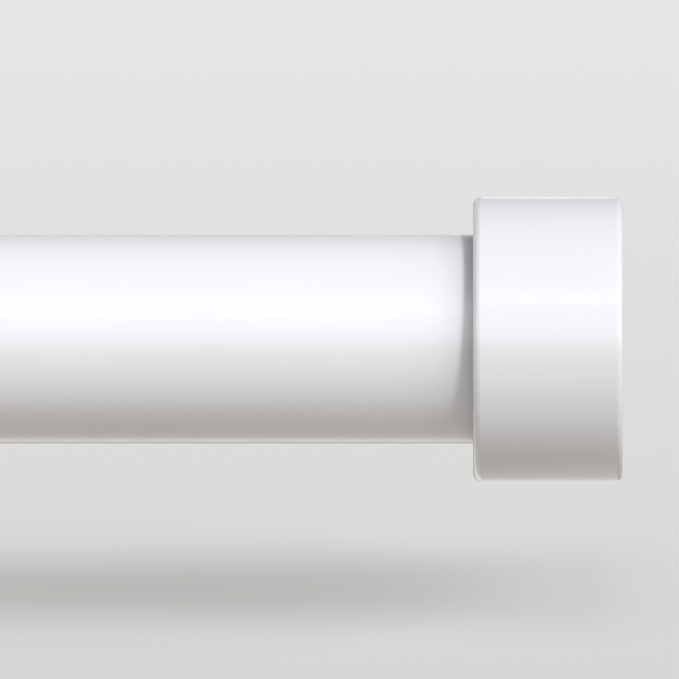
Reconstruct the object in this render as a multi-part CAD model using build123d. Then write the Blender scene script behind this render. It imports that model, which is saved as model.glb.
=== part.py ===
from build123d import *
import os

# Tubes, in millimetres
ROD_SPAN = 711.2
OUTER_TUBE_OD = 25.4
OUTER_TUBE_WALL = 0.6
TUBE_SPACE = 1.0
INNER_TUBE_WALL = 0.6
TUBE_EDGE_BREAK = 0.15

# End caps
CAP_STEP = 4.6
CAP_LENGTH = 18.2
CAP_EDGE_RADIUS = 0.8
CAP_MOUTH_RADIUS = 1.0
CAP_END_WALL = 4.0
SOCKET_CLEARANCE = 0.85
SOCKET_EDGE_BREAK = 0.3
BOSS_DIAMETER = 9.0
BOSS_HEIGHT = 4.0
BOSS_ROOT_BEVEL = 0.5
PILOT_END_WALL = 2.0

# Ribbed inserts
FLANGE_THICKNESS = 2.2
GRIP_LENGTH = 22.0
WEB_THICKNESS = 3.0
INSERT_WALL = 2.2
RIB_COUNT = 8
RIB_HEIGHT = 1.0
RIB_WIDTH = 1.4
RIB_LEAD = 5.0
CORE_LEAD = 1.2
INSERT_SLOT_COUNT = 4
INSERT_SLOT_WIDTH = 1.8
INSERT_SLOT_LENGTH = 11.0
FLANGE_SIDE_GAP = 0.35

# Ring that narrows the left cap's socket to the inner tube
REDUCER_CLEARANCE = 0.4
REDUCER_RECESS = 0.6
REDUCER_LEAD = 0.4

# Insert screws
SCREW_DIAMETER = 3.5
SCREW_HEAD_DIAMETER = 7.6
SCREW_HEAD_HEIGHT = 2.6
SCREW_HEAD_RADIUS = 1.2
SCREW_TIP_LENGTH = 1.4
SCREW_TIP_DIAMETER = 0.8
SCREW_TIP_GAP = 0.5
RECESS_WIDTH = 0.9
RECESS_SPAN = 4.2
RECESS_DEPTH = 1.5

# Collar in the mouth of the outer tube
COLLAR_LIP = 1.6
COLLAR_LIP_RADIUS = 0.5
COLLAR_SLEEVE = 18.0
COLLAR_LEAD = 0.4

# Sprung glide on the inner tube
GLIDE_SPIGOT = 14.0
GLIDE_SPIGOT_WALL = 1.8
GLIDE_SPIGOT_LEAD = 0.8
GLIDE_HEAD = 18.0
GLIDE_SHOULDER = 3.0
GLIDE_FINGER_WALL = 1.3
GLIDE_PAD_START = 7.0
GLIDE_PAD_LENGTH = 4.0
GLIDE_PAD_RAMP = 3.0
GLIDE_SLOT_COUNT = 6
GLIDE_SLOT_WIDTH = 2.0

# Clearances
RUNNING_GAP = 0.1
PRESS_GAP = 0.03
CLOSED_GAP = 0.3
END_SPACE = 3.0

# Radii that follow from the sizes above
outer_radius = OUTER_TUBE_OD / 2
outer_bore = outer_radius - OUTER_TUBE_WALL
inner_radius = outer_bore - TUBE_SPACE
inner_bore = inner_radius - INNER_TUBE_WALL
cap_radius = outer_radius + CAP_STEP
socket_radius = outer_radius + SOCKET_CLEARANCE
flange_radius = socket_radius - FLANGE_SIDE_GAP
boss_radius = BOSS_DIAMETER / 2
screw_radius = SCREW_DIAMETER / 2
pilot_radius = screw_radius + PRESS_GAP

# Stations inside a cap, measured from its open face
socket_floor = CAP_LENGTH - CAP_END_WALL
tube_seat = socket_floor - FLANGE_THICKNESS
boss_top = socket_floor - BOSS_HEIGHT
web_face = boss_top - WEB_THICKNESS
insert_tip = tube_seat - GRIP_LENGTH
pilot_end = CAP_LENGTH - PILOT_END_WALL

# Stations along the closed rod
cap_face = ROD_SPAN / 2
tube_end = cap_face + tube_seat
lip_face = -cap_face + CLOSED_GAP
mouth = lip_face + COLLAR_LIP
glide_start = cap_face + insert_tip - END_SPACE - GLIDE_HEAD

# Places of the two caps
RIGHT_END = Pos(cap_face, 0, 0)
LEFT_END = Pos(-cap_face, 0, 0) * Rot(0, 0, 180)


def outline(*points):
    """Closed outline of (station, radius) points, to be turned about the rod's axis."""
    return make_face(Polyline(*points, close=True))


def corners(sketch, *points):
    """Corners of an outline that lie at the given points."""
    return [min(sketch.vertices(), key=lambda v: abs(v.X - x) + abs(v.Y - r)) for x, r in points]


def turn(sketch):
    return revolve(sketch, axis=Axis.X)


def around(shape, count, first_angle):
    """Copies of a shape, evenly spaced about the rod's axis."""
    return [Rot(first_angle + 360 * i / count, 0, 0) * shape for i in range(count)]


def radial_slot(start, length, width, reach):
    """Cutter that stands on the axis and reaches past the given radius."""
    return Pos(start, 0, 0) * Box(length, width, 2 * reach, align=(Align.MIN, Align.CENTER, Align.MIN))


def tube(start, end, radius, bore):
    section = outline((start, bore), (start, radius), (end, radius), (end, bore))
    return turn(chamfer(section.vertices(), TUBE_EDGE_BREAK))


def end_cap():
    """Cast cap with a socket for the tube and a bored boss for the insert's screw."""
    section = outline(
        (0, socket_radius),
        (0, cap_radius),
        (CAP_LENGTH, cap_radius),
        (CAP_LENGTH, 0),
        (pilot_end, 0),
        (pilot_end, pilot_radius),
        (boss_top, pilot_radius),
        (boss_top, boss_radius),
        (socket_floor, boss_radius),
        (socket_floor, socket_radius),
    )
    section = fillet(corners(section, (0, cap_radius)), CAP_MOUTH_RADIUS)
    section = fillet(corners(section, (CAP_LENGTH, cap_radius)), CAP_EDGE_RADIUS)
    section = chamfer(corners(section, (socket_floor, boss_radius)), BOSS_ROOT_BEVEL)
    return turn(chamfer(corners(section, (0, socket_radius)), SOCKET_EDGE_BREAK))


def insert(bore):
    """Plug with crush ribs for a tube's bore and a flange that the tube's end rests on."""
    rib_radius = bore - RUNNING_GAP
    core_radius = rib_radius - RIB_HEIGHT
    cup_radius = core_radius - INSERT_WALL
    boss_bore = boss_radius + BOSS_ROOT_BEVEL + RUNNING_GAP
    screw_bore = screw_radius + RUNNING_GAP
    plug = turn(
        outline(
            (socket_floor, boss_bore),
            (socket_floor, flange_radius),
            (tube_seat, flange_radius),
            (tube_seat, core_radius),
            (insert_tip + CORE_LEAD, core_radius),
            (insert_tip, core_radius - CORE_LEAD),
            (insert_tip, cup_radius),
            (web_face, cup_radius),
            (web_face, screw_bore),
            (boss_top, screw_bore),
            (boss_top, boss_bore),
        )
    )
    rib_ring = turn(
        outline(
            (tube_seat, cup_radius),
            (tube_seat, rib_radius),
            (insert_tip + RIB_LEAD, rib_radius),
            (insert_tip + CORE_LEAD, core_radius),
            (insert_tip + CORE_LEAD, cup_radius),
        )
    )
    rib_band = radial_slot(insert_tip, GRIP_LENGTH, RIB_WIDTH, rib_radius)
    ribs = [rib_ring & band for band in around(rib_band, RIB_COUNT, 0)]
    slot = radial_slot(insert_tip, INSERT_SLOT_LENGTH, INSERT_SLOT_WIDTH, rib_radius)
    slots = around(slot, INSERT_SLOT_COUNT, 180 / RIB_COUNT)
    return plug + ribs - slots


def left_reducer():
    """Ring pressed into the left cap, which takes the gap between its socket and the inner tube."""
    reducer_bore = inner_radius + REDUCER_CLEARANCE
    reducer_radius = socket_radius - PRESS_GAP
    section = outline(
        (REDUCER_RECESS, reducer_bore),
        (REDUCER_RECESS, reducer_radius),
        (tube_seat, reducer_radius),
        (tube_seat, reducer_bore),
    )
    leads = corners(section, (REDUCER_RECESS, reducer_bore), (tube_seat, reducer_radius))
    return turn(chamfer(leads, REDUCER_LEAD))


def insert_screw():
    """Pan-head screw that draws an insert onto its cap's boss."""
    head_radius = SCREW_HEAD_DIAMETER / 2
    head_top = web_face - SCREW_HEAD_HEIGHT
    shank_end = pilot_end - SCREW_TIP_GAP
    section = outline(
        (head_top, 0),
        (head_top, head_radius),
        (web_face, head_radius),
        (web_face, screw_radius),
        (shank_end - SCREW_TIP_LENGTH, screw_radius),
        (shank_end, SCREW_TIP_DIAMETER / 2),
        (shank_end, 0),
    )
    section = fillet(corners(section, (head_top, head_radius)), SCREW_HEAD_RADIUS)
    blade = Pos(head_top, 0, 0) * Box(2 * RECESS_DEPTH, RECESS_WIDTH, RECESS_SPAN)
    return turn(section) - blade - Rot(90, 0, 0) * blade


def mouth_collar():
    """Bearing ring in the mouth of the outer tube, with a lip over the tube's cut end."""
    bearing = inner_radius + RUNNING_GAP
    sleeve_radius = outer_bore - PRESS_GAP
    sleeve_end = mouth + COLLAR_SLEEVE
    section = outline(
        (lip_face, bearing),
        (lip_face, outer_radius),
        (mouth, outer_radius),
        (mouth, sleeve_radius),
        (sleeve_end, sleeve_radius),
        (sleeve_end, bearing),
    )
    section = fillet(corners(section, (lip_face, outer_radius)), COLLAR_LIP_RADIUS)
    leads = corners(section, (lip_face, bearing), (sleeve_end, sleeve_radius))
    return turn(chamfer(leads, COLLAR_LEAD))


def inner_glide():
    """Glide plugged into the inner tube, with sprung fingers that ride in the outer tube."""
    spigot_radius = inner_bore - PRESS_GAP
    spigot_bore = spigot_radius - GLIDE_SPIGOT_WALL
    pad_radius = outer_bore - RUNNING_GAP
    cup_radius = inner_radius - GLIDE_FINGER_WALL
    spigot_tip = glide_start - GLIDE_SPIGOT
    shoulder_end = glide_start + GLIDE_SHOULDER
    pad_start = glide_start + GLIDE_PAD_START
    pad_end = pad_start + GLIDE_PAD_LENGTH
    head_end = glide_start + GLIDE_HEAD
    body = turn(
        outline(
            (spigot_tip, spigot_bore),
            (spigot_tip, spigot_radius - GLIDE_SPIGOT_LEAD),
            (spigot_tip + GLIDE_SPIGOT_LEAD, spigot_radius),
            (glide_start, spigot_radius),
            (glide_start, inner_radius),
            (pad_start - GLIDE_PAD_RAMP, inner_radius),
            (pad_start, pad_radius),
            (pad_end, pad_radius),
            (pad_end + GLIDE_PAD_RAMP, inner_radius),
            (head_end, inner_radius),
            (head_end, cup_radius),
            (shoulder_end, cup_radius),
            (shoulder_end, spigot_bore),
        )
    )
    slot = radial_slot(shoulder_end, GLIDE_HEAD, GLIDE_SLOT_WIDTH, pad_radius)
    return body - around(slot, GLIDE_SLOT_COUNT, 0)


NODES = {
    "outer_tube": tube(mouth, tube_end, outer_radius, outer_bore),
    "mouth_collar": mouth_collar(),
    "right_end_cap": RIGHT_END * end_cap(),
    "right_insert": RIGHT_END * insert(outer_bore),
    "right_insert_screw": RIGHT_END * insert_screw(),
    "inner_tube": tube(-tube_end, glide_start, inner_radius, inner_bore),
    "inner_glide": inner_glide(),
    "left_end_cap": LEFT_END * end_cap(),
    "left_reducer": LEFT_END * left_reducer(),
    "left_insert": LEFT_END * insert(inner_bore),
    "left_insert_screw": LEFT_END * insert_screw(),
}

os.makedirs("parts", exist_ok=True)
for name, shape in NODES.items():
    export_step(shape, f"parts/{name}.step")
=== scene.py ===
import math

import bmesh
import bpy
from mathutils import Matrix, Vector


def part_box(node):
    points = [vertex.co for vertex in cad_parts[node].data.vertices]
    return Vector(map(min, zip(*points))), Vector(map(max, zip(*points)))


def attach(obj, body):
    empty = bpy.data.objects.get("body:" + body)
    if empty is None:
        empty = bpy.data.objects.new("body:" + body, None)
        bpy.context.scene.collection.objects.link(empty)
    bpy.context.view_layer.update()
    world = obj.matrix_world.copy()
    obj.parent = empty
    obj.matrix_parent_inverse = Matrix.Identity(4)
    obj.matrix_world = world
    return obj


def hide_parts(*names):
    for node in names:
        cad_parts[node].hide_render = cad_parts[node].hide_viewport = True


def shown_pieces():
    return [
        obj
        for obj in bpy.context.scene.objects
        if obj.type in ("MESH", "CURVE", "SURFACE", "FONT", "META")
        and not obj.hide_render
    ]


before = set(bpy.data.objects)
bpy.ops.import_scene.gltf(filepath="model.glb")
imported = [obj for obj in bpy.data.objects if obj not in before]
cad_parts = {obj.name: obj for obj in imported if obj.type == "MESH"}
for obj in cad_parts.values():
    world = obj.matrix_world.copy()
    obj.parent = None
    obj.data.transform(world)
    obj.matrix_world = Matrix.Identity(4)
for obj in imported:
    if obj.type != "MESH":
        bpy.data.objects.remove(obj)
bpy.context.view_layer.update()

MM = 0.001

# Tubes, in metres
ROD_SPAN = 711.2 * MM
OUTER_RADIUS = 12.7 * MM
OUTER_BORE = 12.1 * MM
INNER_RADIUS = 11.1 * MM
INNER_BORE = 10.5 * MM
TUBE_EDGE = 0.15 * MM

# Caps, with stations measured from the open face
CAP_RADIUS = 17.3 * MM
CAP_LENGTH = 18.2 * MM
CAP_EDGE = 0.8 * MM
CAP_MOUTH_EDGE = 1.0 * MM
SOCKET_RADIUS = 13.55 * MM
SOCKET_EDGE = 0.3 * MM
SOCKET_FLOOR = 14.2 * MM
BOSS_RADIUS = 4.5 * MM
BOSS_TOP = 10.2 * MM
BOSS_ROOT = 0.5 * MM
PILOT_RADIUS = 1.78 * MM
PILOT_END = 16.2 * MM

# Ribbed inserts
TUBE_SEAT = 12.0 * MM
INSERT_TIP = -10.0 * MM
WEB_FACE = 7.2 * MM
FLANGE_RADIUS = 13.2 * MM
BOSS_BORE = 5.1 * MM
SCREW_BORE = 1.85 * MM
RIB_GAP = 0.1 * MM
RIB_HEIGHT = 1.0 * MM
RIB_WIDTH = 1.4 * MM
RIB_COUNT = 8
RIB_LEAD = 5.0 * MM
CORE_LEAD = 1.2 * MM
INSERT_WALL = 2.2 * MM
INSERT_SLOT_WIDTH = 1.8 * MM
INSERT_SLOT_LENGTH = 11.0 * MM
INSERT_SLOT_COUNT = 4
INSERT_EDGE = 0.25 * MM

# Ring in the left cap
REDUCER_START = 0.6 * MM
REDUCER_RADIUS = 13.52 * MM
REDUCER_BORE = 11.5 * MM
REDUCER_LEAD = 0.4 * MM

# Insert screws
HEAD_TOP = 4.6 * MM
HEAD_RADIUS = 3.8 * MM
HEAD_ROUND = 1.2 * MM
SHANK_RADIUS = 1.75 * MM
SHANK_END = 15.7 * MM
TIP_LENGTH = 1.4 * MM
TIP_RADIUS = 0.4 * MM
THREAD_PITCH = 1.3 * MM
THREAD_DEPTH = 0.42 * MM
THREAD_START = 8.2 * MM
RECESS_WIDTH = 0.9 * MM
RECESS_SPAN = 4.2 * MM
RECESS_DEPTH = 1.5 * MM

# Collar in the mouth of the outer tube
COLLAR_LIP = 1.6 * MM
COLLAR_LIP_ROUND = 0.5 * MM
COLLAR_SLEEVE_RADIUS = 12.07 * MM
COLLAR_BEARING = 11.2 * MM
COLLAR_LEAD = 0.4 * MM

# Sprung glide on the inner tube
GLIDE_SPIGOT = 14.0 * MM
GLIDE_SPIGOT_RADIUS = 10.47 * MM
GLIDE_SPIGOT_BORE = 8.67 * MM
GLIDE_SPIGOT_LEAD = 0.8 * MM
GLIDE_SHOULDER = 3.0 * MM
GLIDE_CUP_RADIUS = 9.8 * MM
GLIDE_PAD_RADIUS = 12.0 * MM
GLIDE_PAD_START = 7.0 * MM
GLIDE_PAD_LENGTH = 4.0 * MM
GLIDE_PAD_RAMP = 3.0 * MM
GLIDE_SLOT_WIDTH = 2.0 * MM
GLIDE_SLOT_COUNT = 6

# Mesh fineness
SEGMENTS = 256
SCREW_SEGMENTS = 72
ROUND_STEPS = 8
THREAD_STEPS = 10
SLOT_REACH = 2.0 * MM
SHARP_DEGREES = 35.0

# Usual range of a noise's value, where noise is given below as waves per metre and detail
NOISE_LOW = 0.3
NOISE_HIGH = 0.7

# Satin paint: brightness and roughness of each coat, then the shifts of its faint clouds
TUBE_COAT = (0.878, 0.24)
CAP_COAT = (0.851, 0.15)
COAT_LOW = (-0.012, -0.01, -0.004)
COAT_HIGH = (0.0, 0.002, 0.008)
COAT_CLOUD = (60, 2.0)
COAT_SHEEN = (250, 2.0)
COAT_SHEEN_SHIFT = 0.02
COAT_PEEL = (900, 1.0)
COAT_BUMP = 0.002 * MM
COAT_SPECULAR = 0.75

# Bare steel of the tubes
STEEL_STREAKS = ((12, 900, 900), 4.0)
STEEL_DARK = (0.32, 0.32, 0.32)
STEEL_LIGHT = (0.48, 0.47, 0.455)
STEEL_ROUGHNESS = (0.3, 0.46)
STEEL_BUMP = 0.01 * MM
WELD_COLOR = (0.22, 0.22, 0.26)
WELD_EDGE = (0.4 * MM, 0.9 * MM)

# Cast metal of the caps
CAST_CLOUD = (300, 2.0)
CAST_DARK = (0.4, 0.4, 0.41)
CAST_LIGHT = (0.54, 0.54, 0.53)
CAST_GRAIN = (2600, 3.0)
CAST_ROUGHNESS = (0.42, 0.6)
CAST_BUMP = 0.02 * MM

# Plastic of the collar and the reducer
PLASTIC_CLOUD = (180, 2.0)
PLASTIC_DARK = (0.825, 0.83, 0.835)
PLASTIC_LIGHT = (0.845, 0.85, 0.855)
PLASTIC_GRAIN = (3200, 2.0)
PLASTIC_ROUGHNESS = (0.26, 0.36)
PLASTIC_BUMP = 0.003 * MM

# Nylon of the inserts
NYLON_FLOW = ((160, 420, 420), 3.0)
NYLON_DARK = (0.74, 0.725, 0.675)
NYLON_LIGHT = (0.8, 0.79, 0.755)
NYLON_ROUGHNESS = (0.4, 0.52)
NYLON_GRAIN = (2400, 2.0)
NYLON_BUMP = 0.004 * MM
NYLON_GLOW = 0.25
NYLON_GLOW_TINT = (1.0, 0.9, 0.7)
NYLON_GLOW_DEPTH = 1.2 * MM

# Acetal of the glide
ACETAL_RUB = ((40, 1500, 1500), 3.0)
ACETAL_DARK = (0.77, 0.77, 0.75)
ACETAL_LIGHT = (0.81, 0.81, 0.79)
ACETAL_ROUGHNESS = (0.3, 0.42)
ACETAL_BUMP = 0.004 * MM

# Zinc plating of the screws
ZINC_CLOUD = (420, 2.0)
ZINC_BLUE = (0.58, 0.6, 0.62)
ZINC_STRAW = (0.66, 0.64, 0.58)
ZINC_GRAIN = (3000, 3.0)
ZINC_ROUGHNESS = (0.24, 0.4)
ZINC_BUMP = 0.004 * MM

# Sockets of a colour mix node
MIX_FACTOR = 0
MIX_LOW = 6
MIX_HIGH = 7
MIX_RESULT = 2

# Camera
PHOTO_SIZE = 679
TUBE_PIXELS = 208.4
PIXEL = 2 * OUTER_RADIUS / TUBE_PIXELS
CAP_END_PIXEL = 622.5
AXIS_PIXEL = 339.2
VIEW_ELEVATION = 15.0
VIEW_SWING = 0.33
LENS = 1500.0
SENSOR = 36.0
CLIP_END = 100.0

# Floor and backdrop, as seen and as light thrown back
FLOOR_DROP = 31.0 * MM
FLOOR_SIZE = 160.0
# Painted shading of the seen floor: FLOOR_NEAR in front of the rod, FLOOR_FAR behind it and farther off
FLOOR_NEAR = (0.458, 0.451, 0.437)
FLOOR_FAR = (0.575, 0.575, 0.575)
FLOOR_NEAR_AT = -0.05
FLOOR_FAR_AT = 0.28
FLOOR_AWAY = (0.6, 4.0)
FLOOR_BOUNCE = (0.226, 0.196, 0.166)
FLOOR_SHADE = (0.05, 0.05, 0.05)
BACKDROP = (0.79, 0.79, 0.79)

# Floor as gloss shows it: levels as stops of (metres to the back, level)
GLOSS_TINT = (1.0, 0.975, 0.94)
UNDER_ROD = ((-0.1, 0.46), (-0.016, 0.46), (-0.006, 0.72), (0.006, 0.8), (0.012, 1.3), (0.02, 1.35))
BEHIND_ROD = ((0.026, 1.2), (1.0, 1.2))
BEHIND_BAND = ((0.026, 0.15), (1.0, 0.1))
UNDER_CAP = ((-0.1, 0.4), (-0.03, 0.32), (-0.016, 0.34), (-0.008, 0.42), (-0.002, 0.68), (0.01, 0.72))
BEHIND_CAP = ((0.1, 0.72), (0.35, 1.05), (1.0, 1.05))
PAST_CAP = ((-0.1, 0.1), (0.0, 0.1), (0.03, 0.3), (1.0, 0.3))

# Zones of those levels from left to right: start, length of the fade before it, stops
SHARP_FADE = 0.1 * MM
BAND_START = 0.285
BAND_FADE = 0.25
PAST_CAP_START = 0.376
GLOSS_ZONES = (
    (-FLOOR_SIZE, SHARP_FADE, UNDER_ROD + BEHIND_ROD),
    (BAND_START, BAND_FADE, UNDER_ROD + BEHIND_BAND),
    (ROD_SPAN / 2, SHARP_FADE, UNDER_CAP + BEHIND_CAP),
    (PAST_CAP_START, SHARP_FADE, PAST_CAP),
)

# Even light from all round, and panels seen in the gloss: (degrees up from the front horizon, level)
FILL = (0.293, 0.299, 0.317)
PANEL_TINT = (0.94, 0.96, 1.0)
PANEL_STOPS = (
    (0, 0.8),
    (10.5, 0.8),
    (14.5, 2.1),
    (43, 2.0),
    (50, 2.85),
    (56, 1.65),
    (71, 1.05),
    (100, 0.58),
    (122, 0.3),
    (160, 0.3),
    (176, 0.62),
    (180, 0.62),
)

# Lamps on the rod: strength, degrees up from the front horizon, degrees to the right, width in degrees
KEY_LAMP = (1.48, 54.0, 17.3, 8.0)
SIDE_LAMP = (1.05, 54.0, 30.0, 50.0)
LOW_LAMP = (0.47, 15.0, 50.0, 60.0)
BACK_LAMP = (0.43, 150.0, 45.0, 60.0)
REAR_LAMP = (0.8, 195.0, 0.0, 30.0)
MOUTH_LAMP = (0.48, 0.0, -88.0, 20.0)
LEFT_END_LAMP = (0.9, 0.0, -90.0, 20.0)
COOL_WHITE = (0.942, 0.956, 0.985)
WHITE = (1.0, 1.0, 1.0)

# Lamps on the floor, swung to the right, so that the rod's shadow fades towards its end
FLOOR_LAMPS = (
    (4.2, 93.5, 0.0, 34.0),
    (2.6, 93.5, 36.0, 24.0),
    (12.8, 93.5, 60.0, 34.0),
)


def arc(center_x, center_r, radius, start, end):
    """Points of a quarter round in an outline, from start to end degrees."""
    steps = range(ROUND_STEPS + 1)
    angles = [math.radians(start + (end - start) * i / ROUND_STEPS) for i in steps]
    return [(center_x + radius * math.cos(a), center_r + radius * math.sin(a)) for a in angles]


def add_piece(name, mesh):
    """Object from a finished mesh under construction."""
    bmesh.ops.recalc_face_normals(mesh, faces=mesh.faces)
    data = bpy.data.meshes.new(name)
    mesh.to_mesh(data)
    mesh.free()
    piece = bpy.data.objects.new(name, data)
    bpy.context.collection.objects.link(piece)
    return piece


def lathe(name, skins, place, turned=1, segments=SEGMENTS, ridge=None):
    """Solid turned about the rod's axis.

    skins holds the closed outline of (station, radius) points as one run for each material,
    and ridge, where given, is the radius at a station, an angle and the outline's radius.
    """
    mesh = bmesh.new()
    turns = [2 * math.pi * i / segments for i in range(segments)]
    rings = []
    for skin, points in enumerate(skins):
        for x, r in points:
            at = place + turned * x
            ring = [(at, 0, 0)]
            if r > 0:
                radii = [ridge(x, t, r) if ridge else r for t in turns]
                ring = [(at, rt * math.cos(t), rt * math.sin(t)) for rt, t in zip(radii, turns)]
            rings.append((skin, [mesh.verts.new(corner) for corner in ring]))
    for (skin, a), (_, b) in zip(rings, rings[1:] + rings[:1]):
        for i in range(segments):
            j = (i + 1) % segments
            quad = [a[i % len(a)], a[j % len(a)], b[j % len(b)], b[i % len(b)]]
            corners = list(dict.fromkeys(quad))
            if len(corners) > 2:
                face = mesh.faces.new(corners)
                face.material_index = skin
                face.smooth = True
    return add_piece(name, mesh)


def fins(name, profile, width, count, first_angle, place, turned=1):
    """Flat plates that stand out from the axis, all with one profile of (station, radius) points."""
    mesh = bmesh.new()
    for i in range(count):
        turn = math.radians(first_angle + 360 * i / count)
        c = math.cos(turn)
        s = math.sin(turn)
        sides = []
        for y in (-width / 2, width / 2):
            corners = [(place + turned * x, turned * (y * c - r * s), y * s + r * c) for x, r in profile]
            sides.append([mesh.verts.new(corner) for corner in corners])
        mesh.faces.new(sides[0])
        mesh.faces.new(sides[1])
        for k in range(len(profile)):
            mesh.faces.new((sides[0][k - 1], sides[0][k], sides[1][k], sides[1][k - 1]))
    return add_piece(name, mesh)


def combine(piece, other, operation):
    """Joins another solid to a piece, or cuts it away, and keeps the result as the piece's mesh."""
    change = piece.modifiers.new(operation, "BOOLEAN")
    change.operation = operation
    change.solver = "EXACT"
    change.object = other
    graph = bpy.context.evaluated_depsgraph_get()
    data = bpy.data.meshes.new_from_object(piece.evaluated_get(graph))
    piece.modifiers.clear()
    piece.data = data
    bpy.data.objects.remove(other)


def tube(name, start, end, radius, bore):
    """Painted tube with bare steel on its cut ends and in its bore."""
    e = TUBE_EDGE
    painted = [(start, radius - e), (start + e, radius), (end - e, radius)]
    bare = [(end, radius - e), (end, bore + e), (end - e, bore), (start + e, bore), (start, bore + e)]
    return lathe(name, [painted, bare], 0)


def end_cap(name, place, turned):
    """Cast cap, painted outside, with a bare socket and a bored boss for the insert's screw."""
    e = CAP_EDGE
    mouth = CAP_MOUTH_EDGE
    painted = [
        (0, SOCKET_RADIUS + SOCKET_EDGE),
        *arc(mouth, CAP_RADIUS - mouth, mouth, 180, 90),
        *arc(CAP_LENGTH - e, CAP_RADIUS - e, e, 90, 0),
        (CAP_LENGTH, 0),
    ]
    bare = [
        (PILOT_END, 0),
        (PILOT_END, PILOT_RADIUS),
        (BOSS_TOP, PILOT_RADIUS),
        (BOSS_TOP, BOSS_RADIUS),
        (SOCKET_FLOOR - BOSS_ROOT, BOSS_RADIUS),
        (SOCKET_FLOOR, BOSS_RADIUS + BOSS_ROOT),
        (SOCKET_FLOOR, SOCKET_RADIUS),
        (SOCKET_EDGE, SOCKET_RADIUS),
    ]
    return lathe(name, [painted, bare], place, turned)


def insert(name, bore, place, turned):
    """Moulded plug with crush ribs for a tube's bore, slots and a flange under the tube's end."""
    rib_radius = bore - RIB_GAP
    rib_top = math.sqrt(rib_radius**2 - (RIB_WIDTH / 2) ** 2)
    core_radius = rib_radius - RIB_HEIGHT
    cup_radius = core_radius - INSERT_WALL
    e = INSERT_EDGE
    outline = [
        (SOCKET_FLOOR, BOSS_BORE),
        (SOCKET_FLOOR, FLANGE_RADIUS - e),
        (SOCKET_FLOOR - e, FLANGE_RADIUS),
        (TUBE_SEAT + e, FLANGE_RADIUS),
        (TUBE_SEAT, FLANGE_RADIUS - e),
        (TUBE_SEAT, core_radius),
        (INSERT_TIP + CORE_LEAD, core_radius),
        (INSERT_TIP, core_radius - CORE_LEAD),
        (INSERT_TIP, cup_radius + e),
        (INSERT_TIP + e, cup_radius),
        (WEB_FACE, cup_radius),
        (WEB_FACE, SCREW_BORE),
        (BOSS_TOP, SCREW_BORE),
        (BOSS_TOP, BOSS_BORE),
    ]
    plug = lathe(name, [outline], place, turned)
    root = core_radius - RIB_HEIGHT / 2
    rib = [
        (TUBE_SEAT + e, root),
        (TUBE_SEAT + e, rib_top),
        (INSERT_TIP + RIB_LEAD, rib_top),
        (INSERT_TIP + CORE_LEAD, core_radius - e),
        (INSERT_TIP + CORE_LEAD, root),
    ]
    combine(plug, fins("ribs", rib, RIB_WIDTH, RIB_COUNT, 0, place, turned), "UNION")
    slot = [
        (INSERT_TIP - SLOT_REACH, SLOT_REACH),
        (INSERT_TIP - SLOT_REACH, rib_radius + SLOT_REACH),
        (INSERT_TIP + INSERT_SLOT_LENGTH, rib_radius + SLOT_REACH),
        (INSERT_TIP + INSERT_SLOT_LENGTH, SLOT_REACH),
    ]
    first = 180 / RIB_COUNT
    slots = fins("slots", slot, INSERT_SLOT_WIDTH, INSERT_SLOT_COUNT, first, place, turned)
    combine(plug, slots, "DIFFERENCE")
    return plug


def left_reducer(name):
    """Ring in the left cap that takes up the gap to the inner tube."""
    e = REDUCER_LEAD
    outline = [
        (REDUCER_START, REDUCER_BORE + e),
        (REDUCER_START, REDUCER_RADIUS),
        (TUBE_SEAT - e, REDUCER_RADIUS),
        (TUBE_SEAT, REDUCER_RADIUS - e),
        (TUBE_SEAT, REDUCER_BORE),
        (REDUCER_START + e, REDUCER_BORE),
    ]
    return lathe(name, [outline], -ROD_SPAN / 2, -1)


def thread(x, turn, radius):
    """Radius of a screw thread: sharp crests on the shank's radius, over a rounded root."""
    if not THREAD_START < x < SHANK_END - TIP_LENGTH / 2:
        return radius
    phase = (x / THREAD_PITCH + turn / (2 * math.pi)) % 1
    crest = abs(2 * phase - 1) ** 2
    return radius - THREAD_DEPTH * (1 - crest) * radius / SHANK_RADIUS


def insert_screw(name, place, turned):
    """Pan-head screw with a cross recess and a coarse thread."""
    tip_start = SHANK_END - TIP_LENGTH
    step = THREAD_PITCH / THREAD_STEPS
    count = int((tip_start - WEB_FACE) / step)
    shank = [(WEB_FACE + i * step, SHANK_RADIUS) for i in range(count + 1)]
    tip_count = int(TIP_LENGTH / step)
    taper = (SHANK_RADIUS - TIP_RADIUS) / tip_count
    tip = [(tip_start + i * step, SHANK_RADIUS - i * taper) for i in range(tip_count)]
    head = [
        (HEAD_TOP, 0),
        *arc(HEAD_TOP + HEAD_ROUND, HEAD_RADIUS - HEAD_ROUND, HEAD_ROUND, 180, 90),
        (WEB_FACE, HEAD_RADIUS),
    ]
    outline = head + shank + tip + [(SHANK_END, TIP_RADIUS), (SHANK_END, 0)]
    screw = lathe(name, [outline], place, turned, SCREW_SEGMENTS, thread)
    wing = [
        (HEAD_TOP - RECESS_DEPTH, -RECESS_SPAN / 2),
        (HEAD_TOP - RECESS_DEPTH, RECESS_SPAN / 2),
        (HEAD_TOP, RECESS_SPAN / 2),
        (HEAD_TOP + RECESS_DEPTH, RECESS_SPAN / 4),
        (HEAD_TOP + RECESS_DEPTH, -RECESS_SPAN / 4),
        (HEAD_TOP, -RECESS_SPAN / 2),
    ]
    for angle in (0, 90):
        combine(screw, fins("recess", wing, RECESS_WIDTH, 1, angle, place, turned), "DIFFERENCE")
    return screw


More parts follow.
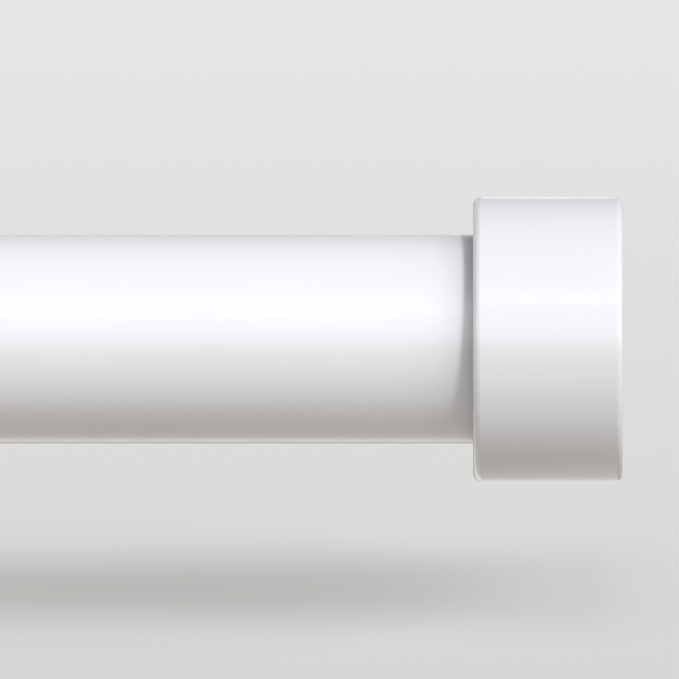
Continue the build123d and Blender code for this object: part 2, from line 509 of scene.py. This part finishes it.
def mouth_collar(name, lip_face, sleeve_end):
    """Bearing ring in the mouth of the outer tube, with a rounded lip over the tube's cut end."""
    mouth = lip_face + COLLAR_LIP
    round_off = COLLAR_LIP_ROUND
    e = COLLAR_LEAD
    outline = [
        (lip_face, COLLAR_BEARING + e),
        *arc(lip_face + round_off, OUTER_RADIUS - round_off, round_off, 180, 90),
        (mouth, OUTER_RADIUS),
        (mouth, COLLAR_SLEEVE_RADIUS),
        (sleeve_end - e, COLLAR_SLEEVE_RADIUS),
        (sleeve_end, COLLAR_SLEEVE_RADIUS - e),
        (sleeve_end, COLLAR_BEARING),
        (lip_face + e, COLLAR_BEARING),
    ]
    return lathe(name, [outline], 0)


def inner_glide(name, tip, end):
    """Glide plugged into the inner tube, with sprung fingers that ride in the outer tube."""
    start = tip + GLIDE_SPIGOT
    shoulder = start + GLIDE_SHOULDER
    pad = start + GLIDE_PAD_START
    pad_end = pad + GLIDE_PAD_LENGTH
    outline = [
        (tip, GLIDE_SPIGOT_BORE),
        (tip, GLIDE_SPIGOT_RADIUS - GLIDE_SPIGOT_LEAD),
        (tip + GLIDE_SPIGOT_LEAD, GLIDE_SPIGOT_RADIUS),
        (start, GLIDE_SPIGOT_RADIUS),
        (start, INNER_RADIUS),
        (pad - GLIDE_PAD_RAMP, INNER_RADIUS),
        (pad, GLIDE_PAD_RADIUS),
        (pad_end, GLIDE_PAD_RADIUS),
        (pad_end + GLIDE_PAD_RAMP, INNER_RADIUS),
        (end, INNER_RADIUS),
        (end, GLIDE_CUP_RADIUS),
        (shoulder, GLIDE_CUP_RADIUS),
        (shoulder, GLIDE_SPIGOT_BORE),
    ]
    glide = lathe(name, [outline], 0)
    slot = [
        (shoulder, SLOT_REACH),
        (shoulder, GLIDE_PAD_RADIUS + SLOT_REACH),
        (end + SLOT_REACH, GLIDE_PAD_RADIUS + SLOT_REACH),
        (end + SLOT_REACH, SLOT_REACH),
    ]
    combine(glide, fins("slots", slot, GLIDE_SLOT_WIDTH, GLIDE_SLOT_COUNT, 0, 0), "DIFFERENCE")
    return glide


def nodes_of(name):
    """New material with its node tree, its surface shader and a position in metres."""
    material = bpy.data.materials.new(name)
    material.use_nodes = True
    tree = material.node_tree
    shader = tree.nodes["Principled BSDF"]
    place = tree.nodes.new("ShaderNodeTexCoord").outputs["Object"]
    return material, tree, shader, place


def axes_of(tree, place):
    """A position's three parts."""
    node = tree.nodes.new("ShaderNodeSeparateXYZ")
    tree.links.new(place, node.inputs[0])
    return node.outputs["X"], node.outputs["Y"], node.outputs["Z"]


def vector_node(tree, operation, vector):
    """Node that works on a position or a colour."""
    node = tree.nodes.new("ShaderNodeVectorMath")
    node.operation = operation
    tree.links.new(vector, node.inputs[0])
    return node


def noise(tree, place, scale, detail):
    """Soft noise by position."""
    node = tree.nodes.new("ShaderNodeTexNoise")
    node.inputs["Scale"].default_value = scale
    node.inputs["Detail"].default_value = detail
    tree.links.new(place, node.inputs["Vector"])
    return node.outputs["Fac"]


def streaks(tree, place, scales, detail):
    """Soft noise with its own scale along each axis."""
    node = vector_node(tree, "MULTIPLY", place)
    node.inputs[1].default_value = scales
    return noise(tree, node.outputs[0], 1.0, detail)


def spread(tree, value, low, high, start=NOISE_LOW, end=NOISE_HIGH):
    """Value between start and end mapped to a range."""
    node = tree.nodes.new("ShaderNodeMapRange")
    node.inputs["From Min"].default_value = start
    node.inputs["From Max"].default_value = end
    node.inputs["To Min"].default_value = low
    node.inputs["To Max"].default_value = high
    tree.links.new(value, node.inputs["Value"])
    return node.outputs["Result"]


def mix_color(tree, value, low, high):
    """Mix of two colours, each a plain colour or another node's output."""
    node = tree.nodes.new("ShaderNodeMix")
    node.data_type = "RGBA"
    node.clamp_result = False
    for socket, color in ((node.inputs[MIX_LOW], low), (node.inputs[MIX_HIGH], high)):
        if isinstance(color, tuple):
            socket.default_value = (*color, 1)
        else:
            tree.links.new(color, socket)
    tree.links.new(value, node.inputs[MIX_FACTOR])
    return node.outputs[MIX_RESULT]


def math_node(tree, operation, *values):
    """One sum of numbers and other nodes' outputs."""
    node = tree.nodes.new("ShaderNodeMath")
    node.operation = operation
    for socket, value in zip(node.inputs, values):
        if isinstance(value, (int, float)):
            socket.default_value = value
        else:
            tree.links.new(value, socket)
    return node.outputs[0]


def ramp(tree, value, stops, tint):
    """Tinted light level by a value, from (value, level) stops."""
    first = stops[0][0]
    last = stops[-1][0]
    top = max(level for _, level in stops)
    node = tree.nodes.new("ShaderNodeValToRGB")
    elements = node.color_ramp.elements
    elements.remove(elements[-1])
    for i, (at, level) in enumerate(stops):
        share = (at - first) / (last - first)
        element = elements.new(share) if i else elements[0]
        element.position = share
        element.color = (*[c * level / top for c in tint], 1)
    tree.links.new(spread(tree, value, 0, 1, first, last), node.inputs["Fac"])
    scaled = vector_node(tree, "SCALE", node.outputs["Color"])
    scaled.inputs["Scale"].default_value = top
    return scaled.outputs[0]


def surface(tree, shader, color, roughness, height, depth):
    """Colour, roughness and bump of a material, each from nodes."""
    bump = tree.nodes.new("ShaderNodeBump")
    bump.inputs["Strength"].default_value = 1.0
    bump.inputs["Distance"].default_value = depth
    tree.links.new(height, bump.inputs["Height"])
    tree.links.new(color, shader.inputs["Base Color"])
    tree.links.new(roughness, shader.inputs["Roughness"])
    tree.links.new(bump.outputs["Normal"], shader.inputs["Normal"])


def white_paint(name, tone, roughness):
    """Smooth satin paint with a faint orange peel."""
    material, tree, shader, place = nodes_of(name)
    cloud = spread(tree, noise(tree, place, *COAT_CLOUD), 0, 1)
    low = tuple(tone + shift for shift in COAT_LOW)
    high = tuple(tone + shift for shift in COAT_HIGH)
    color = mix_color(tree, cloud, low, high)
    sheen = noise(tree, place, *COAT_SHEEN)
    shine = spread(tree, sheen, roughness - COAT_SHEEN_SHIFT, roughness + COAT_SHEEN_SHIFT)
    surface(tree, shader, color, shine, noise(tree, place, *COAT_PEEL), COAT_BUMP)
    shader.inputs["Specular IOR Level"].default_value = COAT_SPECULAR
    return material


def bare_steel():
    """Drawn steel of the tubes' bores and cut ends, with lengthwise streaks and a faint weld line."""
    material, tree, shader, place = nodes_of("bare_steel")
    drawn = streaks(tree, place, *STEEL_STREAKS)
    _, y, z = axes_of(tree, place)
    side = math_node(tree, "ABSOLUTE", y)
    below = math_node(tree, "LESS_THAN", z, 0.0)
    weld = math_node(tree, "MULTIPLY", below, spread(tree, side, 1, 0, *WELD_EDGE))
    grey = mix_color(tree, spread(tree, drawn, 0, 1), STEEL_DARK, STEEL_LIGHT)
    color = mix_color(tree, weld, grey, WELD_COLOR)
    surface(tree, shader, color, spread(tree, drawn, *STEEL_ROUGHNESS), drawn, STEEL_BUMP)
    shader.inputs["Metallic"].default_value = 1.0
    return material


def cast_metal():
    """Raw die-cast metal of the caps' sockets, grainy and dull."""
    material, tree, shader, place = nodes_of("cast_metal")
    cloud = spread(tree, noise(tree, place, *CAST_CLOUD), 0, 1)
    color = mix_color(tree, cloud, CAST_DARK, CAST_LIGHT)
    grain = noise(tree, place, *CAST_GRAIN)
    surface(tree, shader, color, spread(tree, grain, *CAST_ROUGHNESS), grain, CAST_BUMP)
    shader.inputs["Metallic"].default_value = 1.0
    return material


def collar_plastic():
    """White moulded plastic with a fine even texture."""
    material, tree, shader, place = nodes_of("collar_plastic")
    cloud = spread(tree, noise(tree, place, *PLASTIC_CLOUD), 0, 1)
    color = mix_color(tree, cloud, PLASTIC_DARK, PLASTIC_LIGHT)
    grain = noise(tree, place, *PLASTIC_GRAIN)
    surface(tree, shader, color, spread(tree, grain, *PLASTIC_ROUGHNESS), grain, PLASTIC_BUMP)
    return material


def insert_nylon():
    """Natural nylon, slightly see-through, with faint flow marks."""
    material, tree, shader, place = nodes_of("insert_nylon")
    flow = streaks(tree, place, *NYLON_FLOW)
    color = mix_color(tree, spread(tree, flow, 0, 1), NYLON_DARK, NYLON_LIGHT)
    grain = noise(tree, place, *NYLON_GRAIN)
    surface(tree, shader, color, spread(tree, flow, *NYLON_ROUGHNESS), grain, NYLON_BUMP)
    shader.inputs["Subsurface Weight"].default_value = NYLON_GLOW
    shader.inputs["Subsurface Radius"].default_value = NYLON_GLOW_TINT
    shader.inputs["Subsurface Scale"].default_value = NYLON_GLOW_DEPTH
    return material


def glide_acetal():
    """White acetal with a waxy sheen and fine rub marks along the rod."""
    material, tree, shader, place = nodes_of("glide_acetal")
    rub = streaks(tree, place, *ACETAL_RUB)
    color = mix_color(tree, spread(tree, rub, 0, 1), ACETAL_DARK, ACETAL_LIGHT)
    surface(tree, shader, color, spread(tree, rub, *ACETAL_ROUGHNESS), rub, ACETAL_BUMP)
    return material


def screw_steel():
    """Zinc-plated steel with a slight blue and straw tint."""
    material, tree, shader, place = nodes_of("screw_steel")
    cloud = spread(tree, noise(tree, place, *ZINC_CLOUD), 0, 1)
    color = mix_color(tree, cloud, ZINC_BLUE, ZINC_STRAW)
    grain = noise(tree, place, *ZINC_GRAIN)
    surface(tree, shader, color, spread(tree, grain, *ZINC_ROUGHNESS), grain, ZINC_BUMP)
    shader.inputs["Metallic"].default_value = 1.0
    return material


def floor_material():
    """Pale floor with painted shading, seen darker in front of the rod and lighter to the back and
    farther off; it takes a lamp's shadow and throws back warm light.
    """
    material, tree, shader, place = nodes_of("stage_floor")
    x, y, _ = axes_of(tree, place)
    # Painted shading: the seen floor grows lighter from in front of the rod to behind it, and farther
    # off
    depth = spread(tree, y, 0, 1, FLOOR_NEAR_AT, FLOOR_FAR_AT)
    reach = vector_node(tree, "LENGTH", place)
    away = spread(tree, reach.outputs["Value"], 0, 1, *FLOOR_AWAY)
    near = mix_color(tree, depth, FLOOR_NEAR, FLOOR_FAR)
    pale = mix_color(tree, away, near, FLOOR_FAR)
    mirrored = FLOOR_FAR
    for start, fade, stops in GLOSS_ZONES:
        past = spread(tree, x, 0, 1, start - fade, start)
        mirrored = mix_color(tree, past, mirrored, ramp(tree, y, stops, GLOSS_TINT))
    path = tree.nodes.new("ShaderNodeLightPath")
    thrown = mix_color(tree, path.outputs["Is Glossy Ray"], FLOOR_BOUNCE, mirrored)
    shown = mix_color(tree, path.outputs["Is Camera Ray"], thrown, pale)
    tree.links.new(shown, shader.inputs["Emission Color"])
    shader.inputs["Emission Strength"].default_value = 1.0
    shader.inputs["Base Color"].default_value = (*FLOOR_SHADE, 1)
    shader.inputs["Roughness"].default_value = 1.0
    shader.inputs["Specular IOR Level"].default_value = 0.0
    material.cycles.emission_sampling = "NONE"
    return material


def make_world():
    """Even fill light, with long panels beside the rod that only its gloss shows."""
    world = bpy.data.worlds.new("studio")
    bpy.context.scene.world = world
    world.use_nodes = True
    tree = world.node_tree
    place = tree.nodes.new("ShaderNodeTexCoord").outputs["Generated"]
    _, y, z = axes_of(tree, place)
    front = math_node(tree, "MULTIPLY", y, -1.0)
    angle = math_node(tree, "ARCTAN2", z, front)
    degrees = math_node(tree, "DEGREES", angle)
    panels = ramp(tree, degrees, PANEL_STOPS, PANEL_TINT)
    path = tree.nodes.new("ShaderNodeLightPath")
    light = mix_color(tree, path.outputs["Is Glossy Ray"], FILL, panels)
    shown = mix_color(tree, path.outputs["Is Camera Ray"], light, BACKDROP)
    tree.links.new(shown, tree.nodes["Background"].inputs["Color"])


def make_floor():
    """Wide floor under the rod."""
    bpy.ops.mesh.primitive_plane_add(size=FLOOR_SIZE, location=(0, 0, -FLOOR_DROP))
    floor = bpy.context.object
    floor.name = "floor"
    floor.data.materials.append(floor_material())
    return floor


def group(name, objects):
    """Collection outside the scene's tree, which says what a lamp lights or what shades it."""
    collection = bpy.data.collections.new(name)
    for obj in objects:
        collection.objects.link(obj)
    return collection


def sun(name, lit, blockers, color, strength, elevation, swing, width):
    """Distant lamp on some objects, shaded by the rod alone, with no highlight of its own."""
    data = bpy.data.lights.new(name, "SUN")
    data.energy = strength
    data.color = color
    data.angle = math.radians(width)
    lamp = bpy.data.objects.new(name, data)
    e = math.radians(elevation)
    s = math.radians(swing)
    toward = Vector((math.sin(s), -math.cos(s) * math.cos(e), math.cos(s) * math.sin(e)))
    lamp.rotation_mode = "QUATERNION"
    lamp.rotation_quaternion = toward.to_track_quat("Z", "Y")
    lamp.visible_glossy = False
    lamp.light_linking.receiver_collection = group(name + "_lit", lit)
    lamp.light_linking.blocker_collection = group(name + "_blockers", blockers)
    bpy.context.collection.objects.link(lamp)


def make_camera():
    """Long lens in line with the cap's open face, aimed at the photo's centre with the rod level."""
    data = bpy.data.cameras.new("camera")
    data.lens = LENS
    data.sensor_width = SENSOR
    data.clip_end = CLIP_END
    camera = bpy.data.objects.new("camera", data)
    distance = LENS / SENSOR * PHOTO_SIZE * PIXEL
    e = math.radians(VIEW_ELEVATION)
    s = math.radians(VIEW_SWING)
    cap_end = ROD_SPAN / 2 + CAP_LENGTH
    target = Vector((cap_end - (CAP_END_PIXEL - PHOTO_SIZE / 2) * PIXEL, 0, 0))
    target.z = (AXIS_PIXEL - PHOTO_SIZE / 2) * PIXEL
    back = Vector((math.sin(s) * math.cos(e), -math.cos(s) * math.cos(e), math.sin(e)))
    right = (Vector((1, 0, 0)) - back * back.x).normalized()
    camera.location = target + back * distance
    camera.rotation_mode = "QUATERNION"
    camera.rotation_quaternion = Matrix((right, back.cross(right), back)).transposed().to_quaternion()
    bpy.context.collection.objects.link(camera)
    bpy.context.scene.camera = camera


def dress(piece, body, slot, node, *materials):
    """Hard edges, even shading and materials for a piece that takes a node's place."""
    piece.data.set_sharp_from_angle(angle=math.radians(SHARP_DEGREES))
    piece.modifiers.new("even_shading", "WEIGHTED_NORMAL").keep_sharp = True
    piece.data.materials.clear()
    for material in materials:
        piece.data.materials.append(material)
    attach(piece, body)
    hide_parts(node)


# Places of the pieces along the rod
cap_face = ROD_SPAN / 2
outer_low, outer_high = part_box("outer_tube")
inner_low, inner_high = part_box("inner_tube")
collar_low, collar_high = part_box("mouth_collar")
glide_low, glide_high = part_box("inner_glide")

# Materials
tube_paint = white_paint("tube_paint", *TUBE_COAT)
cap_paint = white_paint("cap_paint", *CAP_COAT)
steel = bare_steel()
casting = cast_metal()
plastic = collar_plastic()
nylon = insert_nylon()
plating = screw_steel()

# Tubes with their collar and glide
outer = tube("outer_tube_body", outer_low[0], outer_high[0], OUTER_RADIUS, OUTER_BORE)
dress(outer, "outer_section", "white_paint", "outer_tube", tube_paint, steel)
collar = mouth_collar("mouth_collar_body", collar_low[0], collar_high[0])
dress(collar, "outer_section", "collar_plastic", "mouth_collar", plastic)
inner = tube("inner_tube_body", inner_low[0], inner_high[0], INNER_RADIUS, INNER_BORE)
dress(inner, "inner_section", "white_paint", "inner_tube", tube_paint, steel)
glide = inner_glide("inner_glide_body", glide_low[0], glide_high[0])
dress(glide, "inner_section", "glide_acetal", "inner_glide", glide_acetal())

# Caps with their inserts, screws and reducer
caps = {}
for side, turned, bore in (("right", 1, OUTER_BORE), ("left", -1, INNER_BORE)):
    body = side + "_cap"
    place = turned * cap_face
    cap = end_cap(side + "_cap_body", place, turned)
    dress(cap, body, "white_paint", side + "_end_cap", cap_paint, casting)
    plug = insert(side + "_insert_body", bore, place, turned)
    dress(plug, body, "insert_nylon", side + "_insert", nylon)
    screw = insert_screw(side + "_screw_body", place, turned)
    dress(screw, body, "screw_steel", side + "_insert_screw", plating)
    caps[side] = cap
reducer = left_reducer("left_reducer_body")
dress(reducer, "left_cap", "collar_plastic", "left_reducer", plastic)

# Stage, lamps and camera
bpy.context.scene.view_settings.view_transform = "Standard"
make_world()
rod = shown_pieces()
floor = make_floor()
sun("key_lamp", rod, rod, COOL_WHITE, *KEY_LAMP)
sun("side_lamp", rod, rod, COOL_WHITE, *SIDE_LAMP)
sun("low_lamp", rod, rod, WHITE, *LOW_LAMP)
sun("back_lamp", rod, rod, WHITE, *BACK_LAMP)
sun("rear_lamp", rod, rod, WHITE, *REAR_LAMP)
sun("mouth_lamp", [caps["right"]], rod, COOL_WHITE, *MOUTH_LAMP)
sun("left_end_lamp", [caps["left"]], rod, WHITE, *LEFT_END_LAMP)
for i, lamp in enumerate(FLOOR_LAMPS):
    sun(f"floor_lamp_{i}", [floor], rod, WHITE, *lamp)
make_camera()
